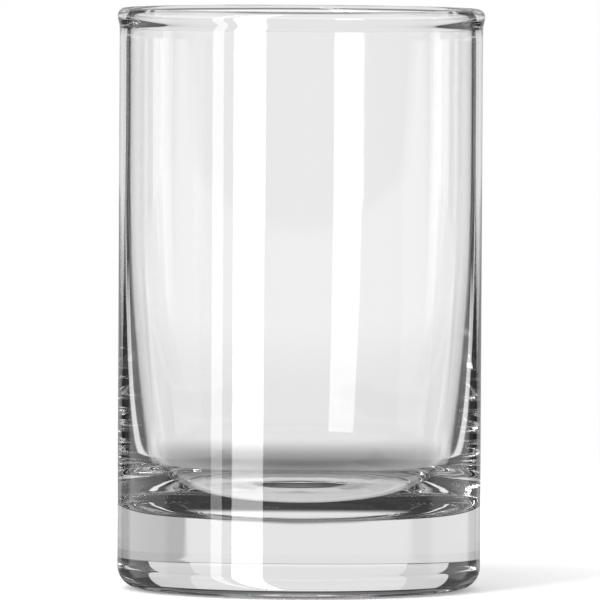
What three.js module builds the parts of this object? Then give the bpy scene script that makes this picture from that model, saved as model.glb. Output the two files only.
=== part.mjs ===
// Heavy-based highball glass: one piece of clear soda-lime glass, free-standing, +Z up.
// The origin is the middle of the foot, on the surface that the glass stands on.
// Lengths are millimetres and angles are degrees.
import * as THREE from "three";

// Driving dimensions
const HEIGHT = 95; // foot to the top of the rim
const BODY_DIAMETER = 59.5; // outside of the straight wall
const WALL_THICKNESS = 1.75; // upper, straight part of the wall
const RIM_THICKNESS = 2.6; // fire-polished bead, across its widest place
const RIM_OVERHANG = 0.33; // how far the bead stands outside the straight wall
const RIM_CROWN_HEIGHT = 1.3; // rounded top of the bead, above its widest place
const RIM_FADE_LENGTH = 2; // the bead's widest place down to the plain wall
const BASE_THICKNESS = 12.1; // solid glass under the lowest part of the cavity
const DRAW_IN_HEIGHT = 69; // where the inside begins to draw in, above the foot
const DRAW_IN_ANGLE = 6.3; // lean of the inside from the vertical, where it meets the bowl corner
const BOWL_CORNER_WIDTH = 9.2; // elliptical rounding between the inside of the wall and the floor, across
const BOWL_CORNER_HEIGHT = 12.3; // the same rounding, upwards from the floor
const FLOOR_DOME_HEIGHT = 0.8; // the cooled glass swells up a little in the middle of the floor
const FOOT_CORNER_RADIUS = 3.6; // rounding between the foot and the wall
const FOOT_RING_WIDTH = 3.5; // flat ring that the glass stands on
const FOOT_HOLLOW_DEPTH = 0.35; // shallow push-up inside that ring

// Fineness of the facets
const FACETS_AROUND = 80;
const FOOT_CORNER_STEPS = 6;
const RIM_FADE_STEPS = 5;
const RIM_CROWN_STEPS = 12;
const DRAW_IN_STEPS = 7;
const BOWL_CORNER_STEPS = 11;
const FLOOR_STEPS = 5;

const CLEAR_GLASS = new THREE.MeshStandardMaterial({
  name: "clear_glass",
  color: 0xeef3f1,
  roughness: 0.03,
  metalness: 0,
  transparent: true,
  opacity: 0.35,
});

const outerRadius = BODY_DIAMETER / 2;
const innerRadius = outerRadius - WALL_THICKNESS;
const beadMiddleRadius = outerRadius + RIM_OVERHANG - RIM_THICKNESS / 2;
const beadMiddleHeight = HEIGHT - RIM_CROWN_HEIGHT;
const fadeEndHeight = beadMiddleHeight - RIM_FADE_LENGTH;
const drawInAngle = THREE.MathUtils.degToRad(DRAW_IN_ANGLE);

// A curve's points as [radius, height], without the first one, which ends the stretch before it.
function along(steps, pointAt) {
  return Array.from({ length: steps }, (_, i) => pointAt((i + 1) / steps));
}

// Rises from 0 to 1 with level ends.
function swell(t) {
  return (1 - Math.cos(Math.PI * t)) / 2;
}

// Shallow hollow under the foot, flat standing ring and rounded corner, from the axis outwards.
function footOutline() {
  const cornerRadiusAtFloor = outerRadius - FOOT_CORNER_RADIUS;
  const hollowRadius = cornerRadiusAtFloor - FOOT_RING_WIDTH;
  const hollow = along(FLOOR_STEPS, (t) => [hollowRadius * t, FOOT_HOLLOW_DEPTH * (1 - t * t)]);
  const corner = along(FOOT_CORNER_STEPS, (t) => [
    cornerRadiusAtFloor + FOOT_CORNER_RADIUS * Math.sin((t * Math.PI) / 2),
    FOOT_CORNER_RADIUS * (1 - Math.cos((t * Math.PI) / 2)),
  ]);
  return [[0, FOOT_HOLLOW_DEPTH], ...hollow, [cornerRadiusAtFloor, 0], ...corner];
}

// The bead on the rim: it swells from the outer wall, rounds over the top and fades into the inner wall.
function rimOutline() {
  const halfThickness = RIM_THICKNESS / 2;
  const insideOverhang = innerRadius - (beadMiddleRadius - halfThickness);
  const outside = along(RIM_FADE_STEPS, (t) => [
    outerRadius + RIM_OVERHANG * swell(t),
    fadeEndHeight + RIM_FADE_LENGTH * t,
  ]);
  const crown = along(RIM_CROWN_STEPS, (t) => [
    beadMiddleRadius + halfThickness * Math.cos(Math.PI * t),
    beadMiddleHeight + RIM_CROWN_HEIGHT * Math.sin(Math.PI * t),
  ]);
  const inside = along(RIM_FADE_STEPS, (t) => [
    innerRadius - insideOverhang * swell(1 - t),
    beadMiddleHeight - RIM_FADE_LENGTH * t,
  ]);
  return [[outerRadius, fadeEndHeight], ...outside, ...crown, ...inside];
}

// The inside below the rim: straight wall, one long arc that draws in, bowl corner and the domed floor.
// The bowl corner is part of an ellipse, and it begins where its slope equals the end of the arc.
function cavityOutline() {
  const cornerMiddleHeight = BASE_THICKNESS + BOWL_CORNER_HEIGHT;
  const cornerStart = Math.atan((Math.tan(drawInAngle) * BOWL_CORNER_HEIGHT) / BOWL_CORNER_WIDTH);
  const arcEndHeight = cornerMiddleHeight - BOWL_CORNER_HEIGHT * Math.sin(cornerStart);
  const arcRadius = (DRAW_IN_HEIGHT - arcEndHeight) / Math.sin(drawInAngle);
  const arc = along(DRAW_IN_STEPS, (t) => [
    innerRadius - arcRadius * (1 - Math.cos(drawInAngle * t)),
    DRAW_IN_HEIGHT - arcRadius * Math.sin(drawInAngle * t),
  ]);
  const [arcEndRadius] = arc.at(-1);
  const floorRadius = arcEndRadius - BOWL_CORNER_WIDTH * Math.cos(cornerStart);
  const corner = along(BOWL_CORNER_STEPS, (t) => {
    const turn = cornerStart + (Math.PI / 2 - cornerStart) * t;
    return [
      floorRadius + BOWL_CORNER_WIDTH * Math.cos(turn),
      cornerMiddleHeight - BOWL_CORNER_HEIGHT * Math.sin(turn),
    ];
  });
  const floor = along(FLOOR_STEPS, (t) => [
    floorRadius * (1 - t),
    BASE_THICKNESS + FLOOR_DOME_HEIGHT * swell(t),
  ]);
  return [[innerRadius, DRAW_IN_HEIGHT], ...arc, ...corner, ...floor];
}

// The whole outline is turned about the Y axis, and then stood up on Z.
function glassBody() {
  const outline = [...footOutline(), ...rimOutline(), ...cavityOutline()];
  const profile = outline.map(([radius, height]) => new THREE.Vector2(radius, height));
  const body = new THREE.Mesh(new THREE.LatheGeometry(profile, FACETS_AROUND), CLEAR_GLASS);
  body.name = "glass_body";
  body.rotation.x = Math.PI / 2;
  return body;
}

const highballGlass = new THREE.Group();
highballGlass.name = "highball_glass";
highballGlass.add(glassBody());

export default highballGlass;
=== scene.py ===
# %% [markdown]
# A highball glass: a tall straight tumbler with a thick, heavy base. It is a single piece of clear
# glass, so this lesson is about one outline, one material and the light that makes clear glass visible.
# The imported model comes first. It says where the glass stands and how large it is.

# %% Load the imported model
import math

import bmesh
import bpy
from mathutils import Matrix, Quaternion, Vector


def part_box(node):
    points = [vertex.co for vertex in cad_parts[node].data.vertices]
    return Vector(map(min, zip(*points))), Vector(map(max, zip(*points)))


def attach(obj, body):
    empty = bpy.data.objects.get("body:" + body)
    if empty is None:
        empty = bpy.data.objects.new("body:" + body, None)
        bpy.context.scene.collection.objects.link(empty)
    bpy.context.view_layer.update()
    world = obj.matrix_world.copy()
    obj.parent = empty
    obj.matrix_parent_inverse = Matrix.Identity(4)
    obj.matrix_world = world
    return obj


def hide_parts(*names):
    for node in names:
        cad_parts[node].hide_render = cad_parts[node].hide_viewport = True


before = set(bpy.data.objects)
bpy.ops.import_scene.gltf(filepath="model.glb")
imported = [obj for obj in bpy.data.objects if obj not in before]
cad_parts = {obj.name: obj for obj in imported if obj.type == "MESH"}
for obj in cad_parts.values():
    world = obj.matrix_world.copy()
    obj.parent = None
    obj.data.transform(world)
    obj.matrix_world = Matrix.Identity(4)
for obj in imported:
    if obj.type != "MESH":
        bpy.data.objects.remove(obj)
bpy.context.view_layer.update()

MM = 0.001
cad_low, cad_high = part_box("glass_body")
print("CAD glass:", [round(size / MM, 2) for size in cad_high - cad_low], "mm")

# %% [markdown]
# Two helpers serve every node tree below. Colours are written as the hex values that a painter would
# pick on a screen, and Blender's sockets want linear light, so one function converts them. The other
# adds a node, sets it up and links it in one call, which keeps a tree readable from top to bottom.

# %% Helpers for colours and nodes
def linear(hex_colour):
    """An sRGB hex colour as linear red, green, blue and alpha."""
    shares = [int(hex_colour[i:i + 2], 16) / 255 for i in (1, 3, 5)]
    return [s / 12.92 if s <= 0.04045 else ((s + 0.055) / 1.055) ** 2.4 for s in shares] + [1.0]


def add(tree, kind, inputs=(), out=0, **settings):
    """Adds a node with its settings, fills its sockets by place or by name, and returns one output."""
    node = tree.nodes.new(kind)
    for name, value in settings.items():
        setattr(node, name, value)
    for socket, value in inputs.items() if isinstance(inputs, dict) else enumerate(inputs):
        if isinstance(value, bpy.types.NodeSocket):
            tree.links.new(value, node.inputs[socket])
        elif value is not None:
            node.inputs[socket].default_value = value
    return node.outputs[out] if node.outputs else node


print("middle grey on a screen, in linear light:", [round(v, 3) for v in linear("#808080")])

# %% [markdown]
# The glass is round, so its whole shape is one outline, turned about the upright axis as on a wheel. It
# could be cut from a cylinder with modifiers, but every change of curvature shows in clear glass as a
# line of light, so the outline is drawn as the real one runs: hollow foot, rounded heel, straight wall,
# swollen fire-polished rim, and inside a wall that thickens downwards into a bowl-shaped floor. The
# sizes are those of the glass itself, and the height and the rim's radius are taken from the packed
# model.

# %% Sizes of the glass
HEIGHT = cad_high.z
RIM_RADIUS = cad_high.x
RIM_OVERHANG = 0.33 * MM
BODY_RADIUS = RIM_RADIUS - RIM_OVERHANG
WALL = 1.75 * MM
INSIDE_RADIUS = BODY_RADIUS - WALL
RIM_THICKNESS = 2.6 * MM
RIM_CROWN = 1.3 * MM
RIM_FADE = 2.0 * MM
BASE = 12.1 * MM
DRAW_IN_HEIGHT = 69 * MM
DRAW_IN_LEAN = math.radians(6.3)
BOWL_CORNER_WIDTH = 9.2 * MM
BOWL_CORNER_HEIGHT = 12.3 * MM
FLOOR_DOME = 0.8 * MM
HEEL_RADIUS = 3.6 * MM
FOOT_RING = 3.5 * MM
FOOT_HOLLOW = 0.35 * MM
print(f"body {2 * BODY_RADIUS / MM:.1f} mm across, {HEIGHT / MM:.1f} mm tall, base {BASE / MM:.1f} mm")

# %% [markdown]
# The outside starts in the middle of the foot. Such glasses stand on a narrow ring round a shallow
# hollow, because a full flat face would rock on a table that isn't true. The heel is a quarter circle,
# as the mould leaves it.

# %% Outline of the foot, the heel and the outer wall
def stretch(steps, point_at):
    """Points along one stretch of the outline, without its first, which ends the stretch before."""
    return [point_at((i + 1) / steps) for i in range(steps)]


HOLLOW_STEPS, RING_STEPS, HEEL_STEPS, WALL_STEPS = 24, 4, 20, 40
heel_middle = BODY_RADIUS - HEEL_RADIUS
hollow_radius = heel_middle - FOOT_RING
bead_height = HEIGHT - RIM_CROWN
fade_end = bead_height - RIM_FADE
quarter = math.pi / 2

outside = [(0, FOOT_HOLLOW)]
outside += stretch(HOLLOW_STEPS, lambda t: (hollow_radius * t, FOOT_HOLLOW * (1 - t * t)))
outside += stretch(RING_STEPS, lambda t: (hollow_radius + FOOT_RING * t, 0))
outside += stretch(HEEL_STEPS, lambda t: (
    heel_middle + HEEL_RADIUS * math.sin(quarter * t),
    HEEL_RADIUS * (1 - math.cos(quarter * t)),
))
outside += stretch(WALL_STEPS, lambda t: (BODY_RADIUS, HEEL_RADIUS + (fade_end - HEEL_RADIUS) * t))
print("foot, heel and outer wall:", len(outside), "points")

# %% [markdown]
# After shaping, the cut rim is melted smooth in a flame. Surface tension draws the soft edge into a bead
# that is thicker than the wall, inside more than outside. Here it is half an ellipse on top, and below
# its widest place it fades into both faces of the wall along a cosine, so that no crease is left.

# %% Outline of the rim
FADE_STEPS, CROWN_STEPS = 14, 36
half_bead = RIM_THICKNESS / 2
bead_radius = RIM_RADIUS - half_bead
inner_swell = INSIDE_RADIUS - (bead_radius - half_bead)


def swell(t):
    """Rises from 0 to 1 with level ends."""
    return (1 - math.cos(math.pi * t)) / 2


rim = stretch(FADE_STEPS, lambda t: (BODY_RADIUS + RIM_OVERHANG * swell(t), fade_end + RIM_FADE * t))
rim += stretch(CROWN_STEPS, lambda t: (
    bead_radius + half_bead * math.cos(math.pi * t),
    bead_height + RIM_CROWN * math.sin(math.pi * t),
))
rim += stretch(FADE_STEPS, lambda t: (
    INSIDE_RADIUS - inner_swell * swell(1 - t),
    bead_height - RIM_FADE * t,
))
print(f"rim bead swells {RIM_OVERHANG / MM:.2f} mm outwards and {inner_swell / MM:.2f} mm inwards")

# %% [markdown]
# The inside is the tool's shape: straight at the top, then drawn in along a very large arc, and turned
# into the floor along nearly a quarter of an ellipse, taller than it is wide. The floor swells up a
# little in the middle, and low even rings stand in for the uneven arcs that the real floor shows. The
# slow change of wall thickness is what bends the dark lines in the lower half of the glass.

# %% Outline of the drink space
INNER_WALL_STEPS, ARC_STEPS, CORNER_STEPS, FLOOR_STEPS = 16, 30, 44, 48
FLOOR_RING_LENGTH = 4.2 * MM
FLOOR_RING_HEIGHT = 0.03 * MM
corner_middle = BASE + BOWL_CORNER_HEIGHT
corner_start = math.atan(math.tan(DRAW_IN_LEAN) * BOWL_CORNER_HEIGHT / BOWL_CORNER_WIDTH)
arc_end_height = corner_middle - BOWL_CORNER_HEIGHT * math.sin(corner_start)
arc_radius = (DRAW_IN_HEIGHT - arc_end_height) / math.sin(DRAW_IN_LEAN)
arc_end_radius = INSIDE_RADIUS - arc_radius * (1 - math.cos(DRAW_IN_LEAN))
floor_radius = arc_end_radius - BOWL_CORNER_WIDTH * math.cos(corner_start)


def bowl_corner(t):
    """Along the ellipse, from where it meets the drawn-in wall to the level floor."""
    turn = corner_start + (quarter - corner_start) * t
    return (
        floor_radius + BOWL_CORNER_WIDTH * math.cos(turn),
        corner_middle - BOWL_CORNER_HEIGHT * math.sin(turn),
    )


def domed_floor(t):
    """Across the floor to the axis: a low dome, with rings that fade towards the middle."""
    radius = floor_radius * (1 - t)
    ring = FLOOR_RING_HEIGHT * math.sin(math.tau * (floor_radius - radius) / FLOOR_RING_LENGTH)
    return radius, BASE + FLOOR_DOME * swell(t) + ring * (1 - t)


inside = stretch(INNER_WALL_STEPS, lambda t: (INSIDE_RADIUS, fade_end + (DRAW_IN_HEIGHT - fade_end) * t))
inside += stretch(ARC_STEPS, lambda t: (
    INSIDE_RADIUS - arc_radius * (1 - math.cos(DRAW_IN_LEAN * t)),
    DRAW_IN_HEIGHT - arc_radius * math.sin(DRAW_IN_LEAN * t),
))
inside += stretch(CORNER_STEPS, bowl_corner)
inside += stretch(FLOOR_STEPS, domed_floor)
print(f"drink space: level floor {2 * floor_radius / MM:.1f} mm across, {len(inside)} points")

# %% [markdown]
# The outline becomes a chain of edges in a mesh, which is what the node tree below reads. Each point
# also carries a number that says how much of the glass maker's ripple it takes: none outside and on the
# rim, all of it inside.

# %% The outline as an edge chain
outline = outside + rim + inside
points = [(radius, 0, height) for radius, height in outline]
edges = [(i, i + 1) for i in range(len(outline) - 1)]
ripple_share = [0.0] * (len(outside) + len(rim)) + [1.0] * len(inside)
chain = bpy.data.meshes.new("highball_outline")
chain.from_pydata(points, edges, [])
stored_share = chain.attributes.new("ripple_share", "FLOAT", "POINT")
stored_share.data.foreach_set("value", ripple_share)
glass = bpy.data.objects.new("clear_glass_body", chain)
bpy.context.scene.collection.objects.link(glass)
print("outline:", len(chain.vertices), "points,", len(chain.edges), "edges")

# %% [markdown]
# The glass is clear soda-lime glass, shaped hot and fire-polished. It has no colour of its own to see:
# what the eye gets is refraction, the mirror of its two faces, a trace of grey in the thick base, and
# the slight waviness that is left where hot glass cooled against a tool. The waves are about 7 mm long
# and far too low to feel, so a bump draws them. A breath of haze comes and goes over areas of about 20
# mm, where a cloth has been over the surface.

# %% Clear fire-polished soda-lime glass
WAVE_LENGTH = 7 * MM
WAVE_HEIGHT = 0.004 * MM
HAZE_SIZE = 20 * MM
HAZE_BEGINS, HAZE_IS_FULL = 0.35, 0.75
HAZE_LEAST, HAZE_MOST = 0.0, 0.012
TINT_DEPTH = 50 * MM
SODA_LIME_IOR = 1.52

soda_lime = bpy.data.materials.new("soda_lime_glass_fire_polished")
soda_lime.use_nodes = True
tree = soda_lime.node_tree
tree.nodes.clear()
place = add(tree, "ShaderNodeTexCoord", out="Object")
haze = add(tree, "ShaderNodeTexNoise", {"Vector": place, "Scale": 1 / HAZE_SIZE, "Detail": 2.0})
haze = add(tree, "ShaderNodeMapRange", [haze, HAZE_BEGINS, HAZE_IS_FULL, HAZE_LEAST, HAZE_MOST])
waves = add(tree, "ShaderNodeTexNoise", {"Vector": place, "Scale": 1 / WAVE_LENGTH, "Detail": 1.0})
bump = add(tree, "ShaderNodeBump", {"Height": waves, "Distance": WAVE_HEIGHT, "Strength": 1.0})
surface = add(tree, "ShaderNodeBsdfPrincipled", {
    "Base Color": linear("#FFFFFF"),
    "Roughness": haze,
    "IOR": SODA_LIME_IOR,
    "Transmission Weight": 1.0,
    "Normal": bump,
})
body_tint = add(tree, "ShaderNodeVolumeAbsorption", {"Color": linear("#FAFAFA"), "Density": 1 / TINT_DEPTH})
add(tree, "ShaderNodeOutputMaterial", {"Surface": surface, "Volume": body_tint})
print("material:", soda_lime.name, "with", len(tree.nodes), "nodes")

# %% [markdown]
# Turning an outline is a rule, so Geometry Nodes do it. A grid has one column for each turn of the wheel
# and one row for each point of the outline. Every grid point looks up its outline point, is turned about
# the axis by its column's angle, and the seam and the two poles are merged. A Screw modifier would turn
# the outline too, but the next step could not ripple one face and spare the other.

# %% Build the tree that turns the outline
wheel = bpy.data.node_groups.new("turn_on_the_wheel", "GeometryNodeTree")
SOCKETS = (
    ("Outline", "INPUT", "NodeSocketGeometry"),
    ("Facets Around", "INPUT", "NodeSocketInt"),
    ("Ripple Height", "INPUT", "NodeSocketFloat"),
    ("Ripple Length", "INPUT", "NodeSocketFloat"),
    ("Ripple Seed", "INPUT", "NodeSocketFloat"),
    ("Merge Distance", "INPUT", "NodeSocketFloat"),
    ("Glass", "INPUT", "NodeSocketMaterial"),
    ("Body", "OUTPUT", "NodeSocketGeometry"),
)
for name, direction, kind in SOCKETS:
    wheel.interface.new_socket(name, in_out=direction, socket_type=kind)
given = add(wheel, "NodeGroupInput").node.outputs
rows = add(wheel, "GeometryNodeAttributeDomainSize", [given["Outline"]], component="MESH")
columns = add(wheel, "ShaderNodeMath", [given["Facets Around"], 1.0], operation="ADD")
grid = add(wheel, "GeometryNodeMeshGrid", {"Vertices X": columns, "Vertices Y": rows})
index = add(wheel, "GeometryNodeInputIndex")
row = add(wheel, "ShaderNodeMath", [index, rows], operation="MODULO")
column = add(wheel, "ShaderNodeMath", [index, rows], operation="DIVIDE")
column = add(wheel, "ShaderNodeMath", [column], operation="FLOOR")
angle = add(wheel, "ShaderNodeMath", [column, given["Facets Around"]], operation="DIVIDE")
angle = add(wheel, "ShaderNodeMath", [angle, math.tau], operation="MULTIPLY")
position = add(wheel, "GeometryNodeInputPosition")
point = add(wheel, "GeometryNodeSampleIndex", {
    "Geometry": given["Outline"], "Value": position, "Index": row,
}, data_type="FLOAT_VECTOR", domain="POINT")
turned = add(wheel, "ShaderNodeVectorRotate", {"Vector": point, "Angle": angle}, rotation_type="Z_AXIS")
share = add(wheel, "GeometryNodeInputNamedAttribute", {"Name": "ripple_share"}, data_type="FLOAT")
share = add(wheel, "GeometryNodeSampleIndex", {
    "Geometry": given["Outline"], "Value": share, "Index": row,
}, data_type="FLOAT", domain="POINT")
body = add(wheel, "GeometryNodeStoreNamedAttribute", {
    "Geometry": grid, "Name": "ripple_share", "Value": share,
}, data_type="FLOAT", domain="POINT")
body = add(wheel, "GeometryNodeSetPosition", {"Geometry": body, "Position": turned})
body = add(wheel, "GeometryNodeMergeByDistance", {"Geometry": body, "Distance": given["Merge Distance"]})
print("turning tree:", len(wheel.nodes), "nodes so far")

# %% [markdown]
# The inside of such a glass is never quite true, because the hot glass cooled against the tool in slow
# waves of a hundredth of a millimetre. A bump could draw them on the surface, but light that is bent by
# both faces needs real slopes, so each point moves along its normal by a noise with a fixed seed. The
# outside and the rim were smoothed by the flame and stay still. The tree ends in Realize Instances,
# because the export drops instances, and in Set Material.

# %% Ripple the inside and finish the tree
NOISE_MIDDLE = 0.5

waves_per_metre = add(wheel, "ShaderNodeMath", [1.0, given["Ripple Length"]], operation="DIVIDE")
noise = add(wheel, "ShaderNodeTexNoise", {
    "Vector": position,
    "W": given["Ripple Seed"],
    "Scale": waves_per_metre,
    "Detail": 1.0,
}, noise_dimensions="4D")
ripple = add(wheel, "ShaderNodeMath", [noise, NOISE_MIDDLE], operation="SUBTRACT")
ripple = add(wheel, "ShaderNodeMath", [ripple, given["Ripple Height"]], operation="MULTIPLY")
kept_share = add(wheel, "GeometryNodeInputNamedAttribute", {"Name": "ripple_share"}, data_type="FLOAT")
ripple = add(wheel, "ShaderNodeMath", [ripple, kept_share], operation="MULTIPLY")
normal = add(wheel, "GeometryNodeInputNormal")
push = add(wheel, "ShaderNodeVectorMath", {"Vector": normal, "Scale": ripple}, operation="SCALE")
body = add(wheel, "GeometryNodeSetPosition", {"Geometry": body, "Offset": push})
body = add(wheel, "GeometryNodeSetShadeSmooth", {"Geometry": body, "Shade Smooth": True})
body = add(wheel, "GeometryNodeRealizeInstances", {"Geometry": body})
body = add(wheel, "GeometryNodeSetMaterial", {"Geometry": body, "Material": given["Glass"]})
add(wheel, "NodeGroupOutput", {"Body": body})
print("whole tree:", len(wheel.nodes), "nodes")

# %% [markdown]
# The modifier's inputs are set by their socket identifiers before anything is evaluated. The result is
# then frozen into a plain mesh and the modifier is taken off, because the export and the frame want
# finished geometry. A closed mesh has no open edges, and its volume is the glass that went into it.

# %% Turn the glass
FACETS_AROUND = 256
RIPPLE_HEIGHT = 0.02 * MM
RIPPLE_LENGTH = 17 * MM
RIPPLE_SEED = 4.0
MERGE_DISTANCE = 0.001 * MM
MILLILITRE = (10 * MM) ** 3

values = {
    "Facets Around": FACETS_AROUND,
    "Ripple Height": RIPPLE_HEIGHT,
    "Ripple Length": RIPPLE_LENGTH,
    "Ripple Seed": RIPPLE_SEED,
    "Merge Distance": MERGE_DISTANCE,
    "Glass": soda_lime,
}
turning = glass.modifiers.new("turning", "NODES")
turning.node_group = wheel
for socket in wheel.interface.items_tree:
    if socket.name in values:
        turning[socket.identifier] = values[socket.name]
evaluated = glass.evaluated_get(bpy.context.evaluated_depsgraph_get())
turned_mesh = bpy.data.meshes.new_from_object(evaluated)
turned_mesh.name = "clear_glass_body"
glass.modifiers.remove(turning)
glass.data = turned_mesh

measure = bmesh.new()
measure.from_mesh(turned_mesh)
open_edges = sum(not edge.is_manifold for edge in measure.edges)
glass_volume = measure.calc_volume(signed=True)
measure.free()
drink_space = 0
for (upper_radius, upper), (lower_radius, lower) in zip(inside, inside[1:]):
    mean_radius = (upper_radius + lower_radius) / 2
    drink_space += math.pi * mean_radius ** 2 * (upper - lower)
print(len(turned_mesh.polygons), "faces,", open_edges, "open edges")
print(f"{glass_volume / MILLILITRE:.1f} ml of glass, {drink_space / MILLILITRE:.0f} ml below the rim bead")

# %% [markdown]
# Clear glass is seen only by what it mirrors and bends, so the studio is half of the likeness. Glass on
# white is lit as a bright field: a pale background straight behind it, darkness to either side of that
# background, and tall light panels in front that draw long white streaks. Real panels would stand in the
# way of other views, so they are drawn as directions in the world. A panel is a window in azimuth and
# elevation with soft edges. Azimuths are degrees to the camera's right, from straight behind the glass
# or from straight in front of it.

# %% A panel of light as a window of directions
def window(tree, value, low, high, soft):
    """1 between low and high, 0 outside, with edges that are soft wide."""
    edges = (low - soft / 2, low + soft / 2), (high + soft / 2, high - soft / 2)
    rise, fall = [
        add(tree, "ShaderNodeMapRange", [value, *edge], interpolation_type="SMOOTHSTEP") for edge in edges
    ]
    return add(tree, "ShaderNodeMath", [rise, fall], operation="MULTIPLY")


def brightest(tree, azimuths, elevation, dark, panels):
    """The brightest of the panels in a direction, or the dark value where there is none."""
    light = dark
    for side, left, right, bottom, top, strength, soft_sides, soft_ends in panels:
        across = window(tree, azimuths[side], left, right, soft_sides)
        upright = window(tree, elevation, bottom, top, soft_ends)
        panel = add(tree, "ShaderNodeMath", [across, upright], operation="MULTIPLY")
        panel = add(tree, "ShaderNodeMath", [panel, strength], operation="MULTIPLY")
        light = add(tree, "ShaderNodeMath", [light, panel], operation="MAXIMUM")
    return light


studio = bpy.data.worlds.new("bright_field_studio")
bpy.context.scene.world = studio
studio.use_nodes = True
tree = studio.node_tree
tree.nodes.clear()
direction = add(tree, "ShaderNodeTexCoord", out="Generated")
x, y, z = add(tree, "ShaderNodeSeparateXYZ", [direction]).node.outputs
toward_front = add(tree, "ShaderNodeMath", [y, -1.0], operation="MULTIPLY")
azimuths = {}
for side, ahead in (("behind", y), ("front", toward_front)):
    turn = add(tree, "ShaderNodeMath", [x, ahead], operation="ARCTAN2")
    azimuths[side] = add(tree, "ShaderNodeMath", [turn], operation="DEGREES")
elevation = add(tree, "ShaderNodeMath", [z], operation="ARCSINE")
elevation = add(tree, "ShaderNodeMath", [elevation], operation="DEGREES")
print("azimuths from", " and ".join(azimuths), "are ready")

# %% [markdown]
# A photographer moves panels and cards until each face of the glass looks right. Light that is mirrored
# by the outside and light that comes through the wall ask for different panels, so there is a set for
# each. A third set are black cards, hung above the table behind the glass: they shade the panels that
# are seen through it, but only for light that was turned back inside, and so they darken the bead of the
# rim. Each line holds a panel's side, its left, right, bottom and top in degrees, its strength, and the
# softness of its upright edges and of its ends.

# %% Panels and hung cards
def both_sides(near, far, *rest):
    """The same panel to the left and to the right of straight behind the glass."""
    return ("behind", -far, -near, *rest), ("behind", near, far, *rest)


TALL_PANEL = ("front", -43.2, -22.8)
SEEN_THROUGH = (
    ("behind", -26.8, 26.8, -90, 3, 0.95, 0.8, 3),  # background, low part
    ("behind", -26.8, 26.8, 0, 45, 0.85, 0.8, 3),  # background, upper part
    ("behind", -45, 45, 0, 38, 0.72, 0.6, 1),  # dimmer wings of the background
    *both_sides(36, 61, -16, -0.5, 0.8, 1.5, 1),  # low panels beside it
    *both_sides(67, 78, -12, -0.5, 1.6, 2, 0.6),  # low bright strips, far out
    ("behind", -200, 200, 55, 100, 0.6, 1, 20),  # overhead light, all round
    (*TALL_PANEL, -60, 9.5, 5.0, 0.4, 2),
)
MIRRORED = (
    ("behind", -25, 25, -6, 40, 0.45, 4, 4),  # background, as the outside mirrors it
    *both_sides(43, 87, -20, 20, 0.95, 9, 5),  # broad panels that draw the bright edges
    (*TALL_PANEL, -75, 75, 8.0, 0.4, 12),  # the wide white streak
    ("front", -57.8, -50, -68, 65, 4.0, 0.4, 12),  # the narrow streak beside it
)
HUNG_CARDS = (
    ("behind", -70, 70, 9, 40, 1, 6, 4),  # high, across the whole background
    *both_sides(28, 70, 0.5, 40, 1, 3, 1),  # down to the table, on either side
)
print("panels:", len(SEEN_THROUGH), "seen through the glass,", len(MIRRORED), "mirrored by it,",
      len(HUNG_CARDS), "hung cards")

# %% [markdown]
# The Light Path node says how a ray came to the world: how many faces of glass it crossed and how often
# it was mirrored. That decides which set of panels it sees. The camera itself sees plain white, and
# light that leaves a matt surface sees an even white sky, so the table is lit from all round. Away from
# the panels the studio is dark, and a little less dark in front, where the room is.

# %% Who sees which panels
DARK_STUDIO = 0.05
FRONT_OF_STUDIO = 0.14
FRONT_BEGINS, FRONT_IS_FULL = 0.2, -0.6
AMBIENT = 1.0
WHITE = 1.0
# The counts are whole numbers, so a limit lies half way between two of them.
AT_LEAST_ONE = 0.5

front = add(tree, "ShaderNodeMapRange", [y, FRONT_BEGINS, FRONT_IS_FULL, DARK_STUDIO, FRONT_OF_STUDIO],
            interpolation_type="SMOOTHSTEP")
through = brightest(tree, azimuths, elevation, front, SEEN_THROUGH)
mirrored = brightest(tree, azimuths, elevation, front, MIRRORED)
hung_card = brightest(tree, azimuths, elevation, 0.0, HUNG_CARDS)
path = add(tree, "ShaderNodeLightPath").node.outputs
faces_crossed = path["Transmission Depth"]
came_through = add(tree, "ShaderNodeMath", [faces_crossed, AT_LEAST_ONE], operation="GREATER_THAN")
turned_back = add(tree, "ShaderNodeMath", [path["Glossy Depth"], AT_LEAST_ONE], operation="GREATER_THAN")
hung_card = add(tree, "ShaderNodeMath", [hung_card, turned_back], operation="MULTIPLY")
through = add(tree, "ShaderNodeMix", [hung_card, None, through, DARK_STUDIO], data_type="FLOAT")
light = add(tree, "ShaderNodeMix", [came_through, None, mirrored, through], data_type="FLOAT")
light = add(tree, "ShaderNodeMix", [path["Is Diffuse Ray"], None, light, AMBIENT], data_type="FLOAT")
light = add(tree, "ShaderNodeMix", [path["Is Camera Ray"], None, light, WHITE], data_type="FLOAT")
backdrop = add(tree, "ShaderNodeBackground", {"Color": linear("#FFFFFF"), "Strength": light})
add(tree, "ShaderNodeOutputWorld", {"Surface": backdrop})
print("studio:", len(tree.nodes), "nodes")

# %% [markdown]
# The glass stands on a smooth white table that runs out into the white background. The table is a plain
# disc, a hair below the foot so that the two faces never share a plane. Mirrored light passes it and
# finds the studio's panels instead, which keeps the streaks on the outside clean down to the foot.

# %% The table top
TABLE_RADIUS = 6000 * MM
TABLE_GAP = 0.2 * MM
TABLE_SIDES = 128

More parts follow.
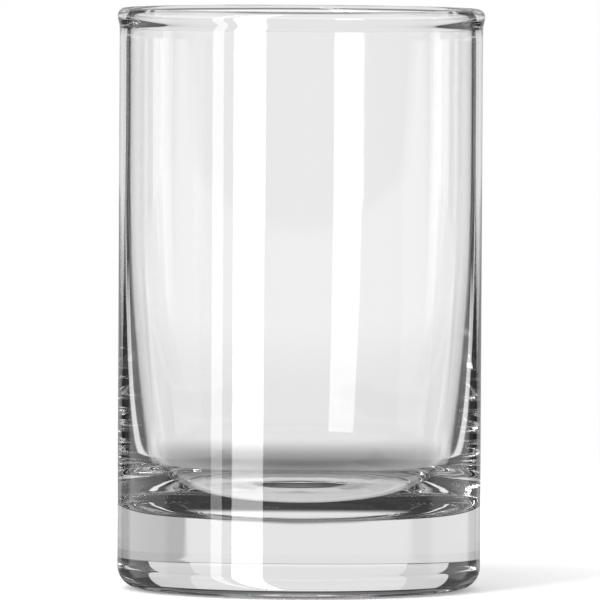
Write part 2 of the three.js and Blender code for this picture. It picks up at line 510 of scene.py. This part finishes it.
disc = bmesh.new()
bmesh.ops.create_circle(disc, cap_ends=True, segments=TABLE_SIDES, radius=TABLE_RADIUS)
for vertex in disc.verts:
    vertex.co.z = -TABLE_GAP
table_mesh = bpy.data.meshes.new("table_top")
disc.to_mesh(table_mesh)
disc.free()
table = bpy.data.objects.new("table_top", table_mesh)
bpy.context.scene.collection.objects.link(table)
table.visible_glossy = False
white_table = bpy.data.materials.new("white_laminate_smooth")
table_mesh.materials.append(white_table)
white_table.use_nodes = True
print(f"table {2 * TABLE_RADIUS:.0f} m across, {TABLE_GAP / MM:.1f} mm below the foot")

# %% [markdown]
# The table's material asks two things of each ray: where it lands and how it came. Straight light
# crossed the glass without being mirrored in it. Light that was turned back was mirrored inside on its
# way. A wall has two faces, so light that crossed at least four has come through both walls.

# %% Where light lands on the table, and how it came
AT_LEAST_FOUR = 3.5

tree = white_table.node_tree
tree.nodes.clear()
spot = add(tree, "ShaderNodeTexCoord", out="Object")
x, y, z = add(tree, "ShaderNodeSeparateXYZ", [spot]).node.outputs
aside = add(tree, "ShaderNodeMath", [x], operation="ABSOLUTE")
from_axis = add(tree, "ShaderNodeVectorMath", [spot], out="Value", operation="LENGTH")
path = add(tree, "ShaderNodeLightPath").node.outputs
faces_crossed = path["Transmission Depth"]
came_through = add(tree, "ShaderNodeMath", [faces_crossed, AT_LEAST_ONE], operation="GREATER_THAN")
two_walls = add(tree, "ShaderNodeMath", [faces_crossed, AT_LEAST_FOUR], operation="GREATER_THAN")
was_mirrored = add(tree, "ShaderNodeMath", [path["Glossy Depth"], AT_LEAST_ONE], operation="GREATER_THAN")
turned_back = add(tree, "ShaderNodeMath", [was_mirrored, came_through], operation="MULTIPLY")
straight = add(tree, "ShaderNodeMath", [came_through, turned_back], operation="SUBTRACT")
print("table material:", len(tree.nodes), "nodes so far")

# %% [markdown]
# Black cards are how a photographer draws the edges of clear glass. Here they are painted shade: dark
# patches in the table's colour, which only light that was turned back inside the glass finds. An inner
# and an outer pair of painted strips run out behind the glass and draw the dark lines down both sides. A
# painted ring under the foot draws the dark arc below the floor, and a painted pair beside the foot
# darkens the glass to the left and right of the floor. Their places were fitted to the photograph. Real
# cards would show in other views, so the shade is painted into the table's material, with edges that
# are straight lines or hyperbolas.

# %% Painted shade on the table, in place of black cards
SHADE_EDGE_SOFT = 5 * MM
SHADE_START, SHADE_START_SOFT = 30 * MM, 20 * MM
PAINTED_SHADE_STRENGTH = 0.95
FAR = 1000.0
# An edge runs outwards by a slope, is bowed near the glass, and is shifted sideways.
INNER_SHADE_STRIP = ((0.51, 0, -34 * MM), (0.52, 62 * MM, 0))
OUTER_SHADE_STRIP = ((0.714, 70 * MM, 0), (1.5, 0, 60 * MM))
RING_INSIDE, RING_OUTSIDE = 17.5 * MM, 31.5 * MM
BESIDE_INSIDE, BESIDE_OUTSIDE, BESIDE_REACH = 36 * MM, 66 * MM, 60 * MM


def past(slope, bow, shift):
    """1 on the table outside two mirrored edges that open behind the glass, 0 between them."""
    run = add(tree, "ShaderNodeMath", [y, slope], operation="MULTIPLY")
    run = add(tree, "ShaderNodeMath", [run, run, bow * bow], operation="MULTIPLY_ADD")
    edge = add(tree, "ShaderNodeMath", [run], operation="SQRT")
    beyond = add(tree, "ShaderNodeMath", [aside, edge], operation="SUBTRACT")
    return window(tree, beyond, shift, FAR, SHADE_EDGE_SOFT)


def strips(near_edge, far_edge):
    """1 on the two strips of the table between the edges, one on each side."""
    return add(tree, "ShaderNodeMath", [past(*near_edge), past(*far_edge)], operation="SUBTRACT")


behind = window(tree, y, SHADE_START, FAR, SHADE_START_SOFT)
# Painted shade in the table's colour: two pairs of dark strips behind the glass.
painted_shade = add(tree, "ShaderNodeMath", [strips(*INNER_SHADE_STRIP), strips(*OUTER_SHADE_STRIP)], operation="MAXIMUM")
painted_shade = add(tree, "ShaderNodeMath", [painted_shade, behind], operation="MULTIPLY")
# A painted ring of shade under the foot's edge.
ring = window(tree, from_axis, RING_INSIDE, RING_OUTSIDE, SHADE_EDGE_SOFT)
painted_shade = add(tree, "ShaderNodeMath", [painted_shade, ring], operation="MAXIMUM")
# A painted pair of shaded patches to the left and right of the foot.
shade_beside_foot = add(tree, "ShaderNodeMath", [
    window(tree, aside, BESIDE_INSIDE, BESIDE_OUTSIDE, SHADE_EDGE_SOFT),
    window(tree, y, -BESIDE_REACH, BESIDE_REACH, SHADE_EDGE_SOFT),
], operation="MULTIPLY")
painted_shade = add(tree, "ShaderNodeMath", [painted_shade, shade_beside_foot], operation="MAXIMUM")
# The painted shade is seen only by light that was turned back inside the glass.
painted_shade = add(tree, "ShaderNodeMath", [painted_shade, turned_back], operation="MULTIPLY")
painted_shade = add(tree, "ShaderNodeMath", [painted_shade, PAINTED_SHADE_STRENGTH], operation="MULTIPLY")
print("black cards: two pairs of strips, a ring and a pair beside the foot")

# %% [markdown]
# Light that goes straight through the glass meets softer painted shadow in the table's colour. Through one
# wall or the solid base, a painted shadow turns the bright background grey towards both sides, more on
# the right than on the left. Through both walls, a painted stripe on either side shades the body beside
# its bright middle. A painted dark band across the table, farther behind, gives the far rim its tone, and
# a painted ring under the heel is the dark line of contact, where little light reaches the table.

# %% Painted shadow for straight light, and the painted line of contact
SHADOW_SIDE_EDGE = (0.538, 0, -21 * MM)
SHADOW_LEAST_ASIDE = 33 * MM
SHADOW_LEFT, SHADOW_RIGHT = 0.1, 0.42
STRIPE = ((0.65, 0, 28 * MM), (1.0, 0, 45 * MM))
STRIPE_STRENGTH = 0.7
RIM_SHADE_NEAR, RIM_SHADE_FAR, RIM_SHADE_SOFT, RIM_SHADE_STRENGTH = 200 * MM, 330 * MM, 12 * MM, 0.75
CONTACT_INSIDE, CONTACT_OUTSIDE, CONTACT_STRENGTH = 25 * MM, 33 * MM, 0.55

# A painted shadow to both sides behind the glass, deeper on the right than on the left.
on_right = add(tree, "ShaderNodeMath", [x, 0.0], operation="GREATER_THAN")
shadow_share = add(tree, "ShaderNodeMix", [on_right, None, SHADOW_LEFT, SHADOW_RIGHT], data_type="FLOAT")
grey = add(tree, "ShaderNodeMath", [past(*SHADOW_SIDE_EDGE), shadow_share], operation="MULTIPLY")
beside = window(tree, aside, SHADOW_LEAST_ASIDE, FAR, SHADE_EDGE_SOFT)
grey = add(tree, "ShaderNodeMath", [grey, beside], operation="MULTIPLY")
grey = add(tree, "ShaderNodeMath", [grey, behind], operation="MULTIPLY")
# A painted dark band across the table, farther behind, for the far rim.
painted_rim_shade = window(tree, y, RIM_SHADE_NEAR, RIM_SHADE_FAR, RIM_SHADE_SOFT)
painted_rim_shade = add(tree, "ShaderNodeMath", [painted_rim_shade, RIM_SHADE_STRENGTH], operation="MULTIPLY")
one_wall = add(tree, "ShaderNodeMath", [grey, painted_rim_shade], operation="MAXIMUM")
# Painted shade stripes, seen through both walls.
stripe = add(tree, "ShaderNodeMath", [strips(*STRIPE), STRIPE_STRENGTH], operation="MULTIPLY")
stripe = add(tree, "ShaderNodeMath", [stripe, behind], operation="MULTIPLY")
grey = add(tree, "ShaderNodeMix", [two_walls, None, one_wall, stripe], data_type="FLOAT")
# A painted contact shadow round the foot.
contact = window(tree, from_axis, CONTACT_INSIDE, CONTACT_OUTSIDE, SHADE_EDGE_SOFT)
contact = add(tree, "ShaderNodeMath", [contact, CONTACT_STRENGTH], operation="MULTIPLY")
grey = add(tree, "ShaderNodeMath", [grey, contact], operation="MAXIMUM")
grey = add(tree, "ShaderNodeMath", [grey, straight], operation="MULTIPLY")
dark = add(tree, "ShaderNodeMath", [painted_shade, grey], operation="MAXIMUM")
print("greys: two sides, two stripes, the rim's card and the line of contact")

# %% [markdown]
# The table is smooth white laminate: pale and matt to the eye, without a mirror image. The camera sees
# it lit like any matt surface, with the soft shadow of the glass and a little lift towards the white
# background; this shadow is partly real and partly painted into the table's colour round a point behind
# the glass. Light that came through the glass sees the table glow at the same tone as a plain value, with
# the painted shadow much deeper through both walls and less the painted shade, because a lit surface seen
# through so many curved faces would be full of noise. A disc would show its far edge through the glass as
# a horizon, so the table grows clear with distance, both behind the glass and in front of it.

# %% The table's surface
TABLE_TONE = linear("#EEEEEE")[0]
TABLE_LIFT = 0.2
SHADOW_BEHIND, SHADOW_RADIUS = 50 * MM, 64 * MM
SHADOW_THROUGH, SHADOW_DIRECT = 0.14, 0.8
FADE_BEHIND = (200 * MM, 400 * MM)
FADE_IN_FRONT = (-450 * MM, -700 * MM)
FADE_LEAST, FADE_MOST = 0.03, 0.97

# A painted shadow in the table's colour, darkest at a point behind the glass, and much deeper for light
# through both walls.
shadow_middle = Vector((0, SHADOW_BEHIND, -TABLE_GAP))
away = add(tree, "ShaderNodeVectorMath", [spot, shadow_middle], out="Value", operation="DISTANCE")
unshaded = add(tree, "ShaderNodeMapRange", [away, 0.0, SHADOW_RADIUS], interpolation_type="SMOOTHSTEP")
darkest = add(tree, "ShaderNodeMix", [two_walls, None, SHADOW_DIRECT, SHADOW_THROUGH], data_type="FLOAT")
tone = add(tree, "ShaderNodeMix", [unshaded, None, darkest, WHITE], data_type="FLOAT")
tone = add(tree, "ShaderNodeMath", [tone, TABLE_TONE], operation="MULTIPLY")
colour = add(tree, "ShaderNodeCombineColor", [tone, tone, tone])
matt = add(tree, "ShaderNodeBsdfDiffuse", {"Color": colour})
lift = add(tree, "ShaderNodeMath", [path["Is Camera Ray"], TABLE_LIFT], operation="MULTIPLY")
lift = add(tree, "ShaderNodeEmission", {"Strength": lift})
direct = add(tree, "ShaderNodeAddShader", [matt, lift])
# Where the painted shade lies, the table is darker and does not grow clear.
outside_painted_shade = add(tree, "ShaderNodeMath", [1.0, dark], operation="SUBTRACT")
tone = add(tree, "ShaderNodeMath", [tone, outside_painted_shade], operation="MULTIPLY")
seen = add(tree, "ShaderNodeEmission", {"Strength": tone})
surface = add(tree, "ShaderNodeMixShader", [came_through, direct, seen])
fades = [
    add(tree, "ShaderNodeMapRange", [y, *ends, FADE_LEAST, FADE_MOST], interpolation_type="SMOOTHSTEP")
    for ends in (FADE_BEHIND, FADE_IN_FRONT)
]
gone = add(tree, "ShaderNodeMath", fades, operation="MAXIMUM")
gone = add(tree, "ShaderNodeMath", [gone, outside_painted_shade], operation="MULTIPLY")
clear = add(tree, "ShaderNodeBsdfTransparent")
surface = add(tree, "ShaderNodeMixShader", [gone, surface, clear])
add(tree, "ShaderNodeOutputMaterial", {"Surface": surface})
print(f"table material: {len(tree.nodes)} nodes, clear from {FADE_BEHIND[1] / MM:.0f} mm behind the glass")

# %% [markdown]
# The photograph was taken with a long lens, from a little above the rim: the foot's ellipse is three
# times as open as the rim's, which fixes both the distance and the height of the camera. The lens
# follows from how much glass one pixel covers, and the camera leans by a third of a degree, as the
# photograph does.

# %% Camera
IMAGE_SIDE = 600
PIXEL = 0.1639 * MM
CAMERA_AWAY = 2150 * MM
CAMERA_HEIGHT = 139 * MM
AIM_HEIGHT = 47.2 * MM
CAMERA_LEAN = math.radians(0.3)
SENSOR = 36.0

aim = Vector((0, 0, AIM_HEIGHT))
lens_place = Vector((0, -CAMERA_AWAY, CAMERA_HEIGHT))
sight = aim - lens_place
lens = bpy.data.cameras.new("long_lens")
lens.sensor_width = SENSOR
lens.lens = SENSOR * sight.length / (IMAGE_SIDE * PIXEL)
camera = bpy.data.objects.new("camera", lens)
camera.location = lens_place
camera.rotation_mode = "QUATERNION"
camera.rotation_quaternion = sight.to_track_quat("-Z", "Y") @ Quaternion((0, 0, 1), CAMERA_LEAN)
bpy.context.scene.collection.objects.link(camera)
bpy.context.scene.camera = camera
print(f"lens {lens.lens:.0f} mm on a {SENSOR:.0f} mm sensor")

# %% [markdown]
# A ray that enters a thick glass base is thrown about inside it many times, so the scene allows more
# bounces than usual. Then the finished glass takes the place of the imported node.

# %% Settings, and the glass in place of the imported node
GLASS_BOUNCES = 32
scene = bpy.context.scene
scene.view_settings.view_transform = "Standard"
scene.cycles.max_bounces = GLASS_BOUNCES
scene.cycles.transmission_bounces = GLASS_BOUNCES
scene.cycles.glossy_bounces = GLASS_BOUNCES // 2
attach(glass, "root")
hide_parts("glass_body")
